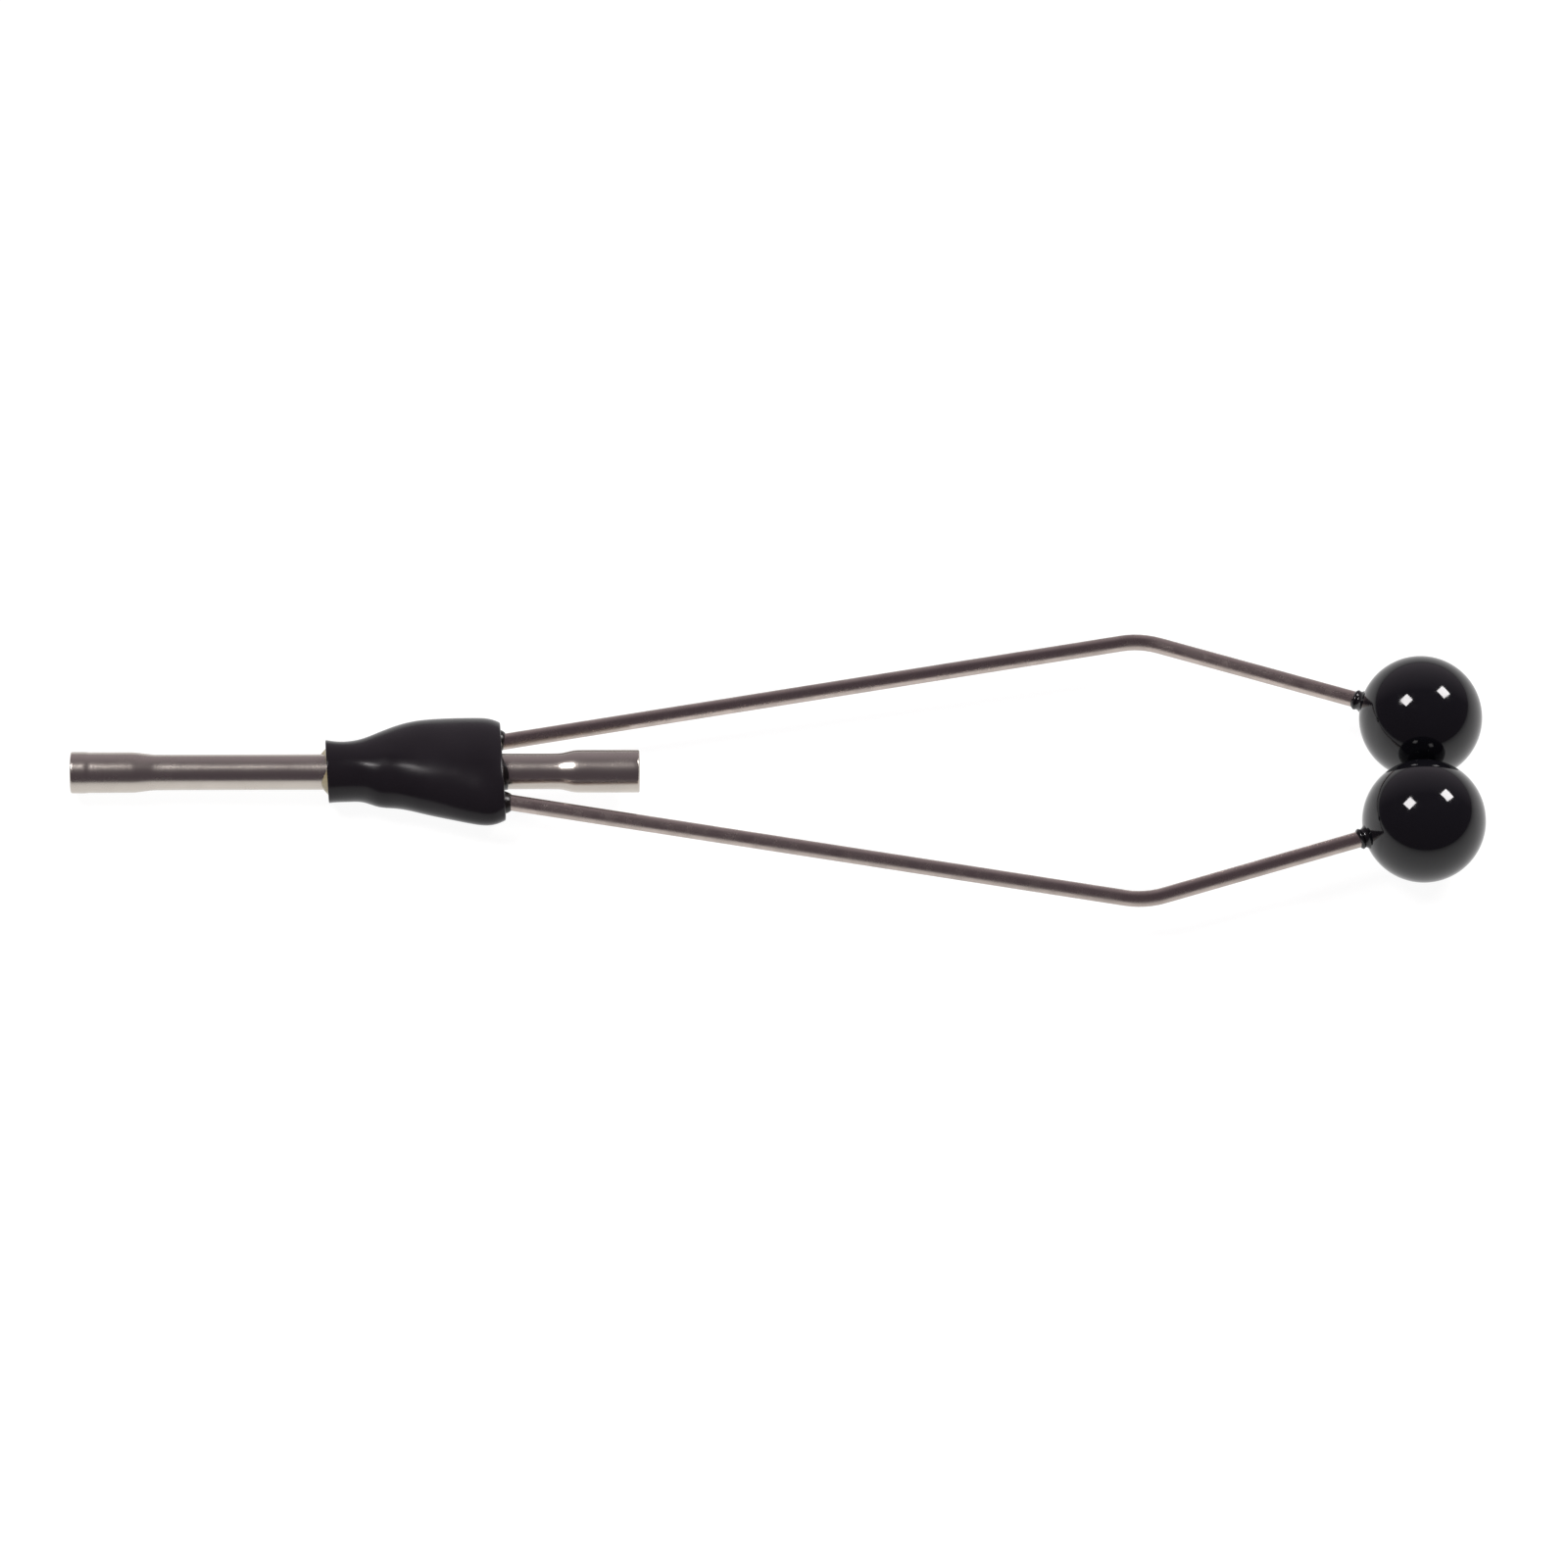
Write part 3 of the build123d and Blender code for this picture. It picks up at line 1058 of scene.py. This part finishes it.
class BOBBIN_OT_lining(bpy.types.Operator):
    """Make the hot-melt lining that fills the sleeve"""

    bl_idname = "bobbin.lining"
    bl_label = "Melted lining"

    def execute(self, context):
        """A closed loop round the annulus between the tube and the inside of the sleeve.

        Across it, w goes from 0 on the tube to 1 at the sleeve's wall. In front the melt stands
        out by bead (1 - w)^0.7, most on the tool's two sides. At the rear it climbs the walls, the
        tube and the wires: x = rear + climb (2 w - 1)^4 + film exp(-(gap / thickness)^2) + collar
        exp(-(d / r)^6), with gap from the tube's face and d from a wire's centre line.
        """
        sleeve = settings("sleeve")
        tube_radius = settings("tube").body / 2 + 0.004 * MM
        wall = sleeve.wall - 0.01 * MM
        angle = np.linspace(0, 2 * pi, 288, endpoint=False)[None, :]
        across = ((1 - np.cos(np.linspace(0, pi, 84))) / 2)[:, None]

        def section(nominal_x, w):
            """Points at nominal_x, a share w of the way from the tube to the sleeve's wall."""
            at_wall = sleeve_surface(nominal_x, wall, angle)
            at_tube = at_wall.copy()
            at_tube[..., 1] = tube_radius * np.cos(angle)
            at_tube[..., 2] = tube_radius * np.sin(angle)
            return at_tube + (at_wall - at_tube) * w[..., None]

        front_inset, rear_inset = 0.25 * MM, 1.05 * MM
        front_x = sleeve.front + front_inset
        at_sides = 0.75 + 0.55 * np.cos(2 * angle) - 0.14 * np.cos(angle)
        uneven = at_sides + 0.12 * np.sin(5 * angle + 0.5)
        front_face = section(front_x + 0 * angle, across + 0 * angle)
        front_face[..., 0] -= (sleeve.bead * uneven + 0.14 * MM) * (1 - across) ** 0.7

        rear_x = sleeve.rear - rear_inset
        w = across[::-1]
        rear_face = section(rear_x + 0 * angle, w + 0 * angle)
        y, z = rear_face[..., 1], rear_face[..., 2]
        climb = 0.4 * MM * (2 * w - 1) ** 4
        gap = np.hypot(y, z) - tube_radius
        film_thickness = 0.15 * MM
        film_length = 0.85 * MM + 0.1 * MM * np.sin(3 * angle + 1)
        film = film_length * np.exp(-((gap / film_thickness) ** 2))
        from_wire = np.hypot(np.abs(y) - flexure[1], z)
        collar_radius = 0.98 * MM + 0.07 * MM * np.sin(2 * angle + 0.8)
        collar_length = 1.55 * MM
        collar = collar_length * np.exp(-((from_wire / collar_radius) ** 6))
        rear_face[..., 0] += climb + film + collar

        nominal = np.linspace(front_x, rear_x, 42)[1:-1, None] + 0 * angle
        outside = section(nominal, np.ones_like(nominal))
        inside = section(nominal[::-1], np.zeros_like(nominal))
        grid = np.concatenate([front_face, outside, rear_face, inside])
        material = cooled_hot_melt(sleeve.melt, sleeve.front + 1.5 * MM, sleeve.rear - 4 * MM)
        piece = make_piece("melted_lining", grid, material, close_rows=True)
        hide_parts("adhesive_lining")
        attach(piece, "grip")
        return {"FINISHED"}


class BOBBIN_OT_braze(bpy.types.Operator):
    """Give the hidden braze fillets their metal"""

    bl_idname = "bobbin.braze"
    bl_label = "Braze"

    def execute(self, context):
        """The fillets keep their CAD meshes and get a new material."""
        material = silver_braze()
        for _, name in SIDES:
            mesh = frame["nodes"][f"braze_fillet_{name}"].data
            mesh.materials.clear()
            mesh.materials.append(material)
        return {"FINISHED"}


class BOBBIN_OT_studio(bpy.types.Operator):
    """Make the table, the softboxes, the dim room and the camera"""

    bl_idname = "bobbin.studio"
    bl_label = "Studio"

    def execute(self, context):
        """The table touches the balls and the sleeve from below, so it leans a little to them."""
        studio = settings("studio")
        self.make_table(studio)
        self.make_softboxes(studio)
        self.make_room(context.scene, studio)
        self.make_camera(context.scene, studio)
        context.scene.view_settings.view_transform = "Standard"
        context.scene.view_settings.look = "None"
        return {"FINISHED"}

    def make_table(self, studio):
        """A square plane through the balls' lowest points and the sleeve's."""
        sleeve_low, sleeve_high = box_of("shrink_sleeve")
        sleeve_x = (sleeve_low[0] + sleeve_high[0]) / 2
        lean = (ball_low[2] - sleeve_low[2]) / (ball_centre[0] - sleeve_x)
        half = 1.6
        gap = 0.04 * MM
        x = ball_centre[0] + np.array([-half, half, half, -half])
        y = np.array([-half, -half, half, half])
        z = ball_low[2] - gap + lean * (x - ball_centre[0])
        mesh = bpy.data.meshes.new("pale_table")
        mesh.from_pydata(np.column_stack([x, y, z]).tolist(), [], [(0, 1, 2, 3)])
        mesh.materials.append(lit_acrylic_table(studio.table, float(cad_box[1][0])))
        table = bpy.data.objects.new("pale_table", mesh)
        bpy.context.scene.collection.objects.link(table)

    def make_softboxes(self, studio):
        """Two square lamps that look seen_width wide from the balls, at any distance."""
        distance = 1.3
        seen_width = radians(16.5)
        width = 2 * distance * tan(seen_width / 2)
        target = Vector(ball_centre)
        target.y = 0
        lamps = (("overhead", (-0.46, 0.03, 0.89), 40), ("behind", (0.60, 0.33, 0.73), 25))
        for name, direction, turn in lamps:
            away = Vector(direction).normalized()
            lamp = bpy.data.lights.new(f"softbox_{name}", "AREA")
            lamp.shape = "SQUARE"
            lamp.size = width
            lamp.energy = studio.softbox_radiance * pi * width**2
            lamp.color = (1.0, 0.97, 0.98)
            holder = bpy.data.objects.new(f"softbox_{name}", lamp)
            holder.location = target + away * distance
            holder.rotation_mode = "QUATERNION"
            holder.rotation_quaternion = away.to_track_quat("Z", "Y") @ Quaternion((0, 0, 1), radians(turn))
            bpy.context.scene.collection.objects.link(holder)

    def make_room(self, scene, studio):
        """A dim warm room lights the tool, and the camera itself sees a pale backdrop.

        The room is paler on the far side of the table, low down, where its wall catches light.
        """
        world = bpy.data.worlds.new("dim_room")
        world.use_nodes = True
        tree = world.node_tree
        room = tree.nodes["Background"]
        direction = add(world, "ShaderNodeTexCoord").outputs["Generated"]
        apart = add(world, "ShaderNodeSeparateXYZ", {"Vector": direction})
        far_side = add(
            world, "ShaderNodeMapRange", {"Value": apart.outputs["Y"], "From Min": 0.3, "From Max": 1.0}
        )
        paler = mixed_colour(
            world, far_side.outputs["Result"], (*studio.room, 1.0), (*studio.far_wall, 1.0)
        )
        tree.links.new(paler, room.inputs["Color"])
        backdrop = tree.nodes.new("ShaderNodeBackground")
        backdrop.inputs["Color"].default_value = linear("F2F2F0")
        seen = tree.nodes.new("ShaderNodeLightPath")
        mix = tree.nodes.new("ShaderNodeMixShader")
        tree.links.new(seen.outputs["Is Camera Ray"], mix.inputs[0])
        tree.links.new(room.outputs[0], mix.inputs[1])
        tree.links.new(backdrop.outputs[0], mix.inputs[2])
        tree.links.new(mix.outputs[0], tree.nodes["World Output"].inputs["Surface"])
        scene.world = world

    def make_camera(self, scene, studio):
        """A long lens that looks down at the middle of the tool from its right side."""
        data = bpy.data.cameras.new("studio_camera")
        data.sensor_width = 36
        data.lens = studio.focal_length
        low, high = cad_box
        along, aside = 0.55 * MM, -1.3 * MM
        aim = Vector(((low[0] + high[0]) / 2 + along, aside, 0))
        a, e = studio.azimuth, studio.elevation
        back = Vector((sin(a) * cos(e), -cos(a) * cos(e), sin(e)))
        camera = bpy.data.objects.new("studio_camera", data)
        camera.location = aim + back * studio.distance
        camera.rotation_mode = "QUATERNION"
        roll = Quaternion((0, 0, 1), studio.roll)
        camera.rotation_quaternion = (-back).to_track_quat("-Z", "Y") @ roll
        data.clip_start = 0.01
        data.clip_end = 20
        scene.collection.objects.link(camera)
        scene.camera = camera


GROUPS = {
    "tube": ThreadTubeSettings,
    "wires": SpringWireSettings,
    "balls": BallSettings,
    "sleeve": SleeveSettings,
    "studio": StudioSettings,
}
OPERATORS = (
    BOBBIN_OT_thread_tube,
    BOBBIN_OT_spring_wires,
    BOBBIN_OT_balls,
    BOBBIN_OT_glue,
    BOBBIN_OT_sleeve,
    BOBBIN_OT_lining,
    BOBBIN_OT_braze,
    BOBBIN_OT_studio,
)


class BOBBIN_PT_panel(bpy.types.Panel):
    """Lists the settings and the pieces"""

    bl_idname = "BOBBIN_PT_panel"
    bl_label = "Bobbin holder"
    bl_space_type = "VIEW_3D"
    bl_region_type = "UI"
    bl_category = "Bobbin holder"

    def draw(self, context):
        """One box of properties for each group, then a button for each piece."""
        for name, group in GROUPS.items():
            box = self.layout.box()
            box.label(text=group.__doc__)
            for key in group.__annotations__:
                box.prop(settings(name), key)
        for operator in OPERATORS:
            self.layout.operator(operator.bl_idname)


CLASSES = (*GROUPS.values(), *OPERATORS, BOBBIN_PT_panel)


def register():
    """Makes the settings, operators and panel known, and puts the settings on the scene."""
    for each in CLASSES:
        bpy.utils.register_class(each)
    for name, group in GROUPS.items():
        setattr(bpy.types.Scene, f"bobbin_{name}", PointerProperty(type=group))


def unregister():
    """Takes everything out again."""
    for name in GROUPS:
        delattr(bpy.types.Scene, f"bobbin_{name}")
    for each in reversed(CLASSES):
        bpy.utils.unregister_class(each)


def main():
    """Makes each piece and the stage."""
    register()
    bpy.ops.bobbin.thread_tube()
    bpy.ops.bobbin.spring_wires()
    bpy.ops.bobbin.balls()
    bpy.ops.bobbin.glue()
    bpy.ops.bobbin.sleeve()
    bpy.ops.bobbin.lining()
    bpy.ops.bobbin.braze()
    bpy.ops.bobbin.studio()


if __name__ == "__main__":
    main()
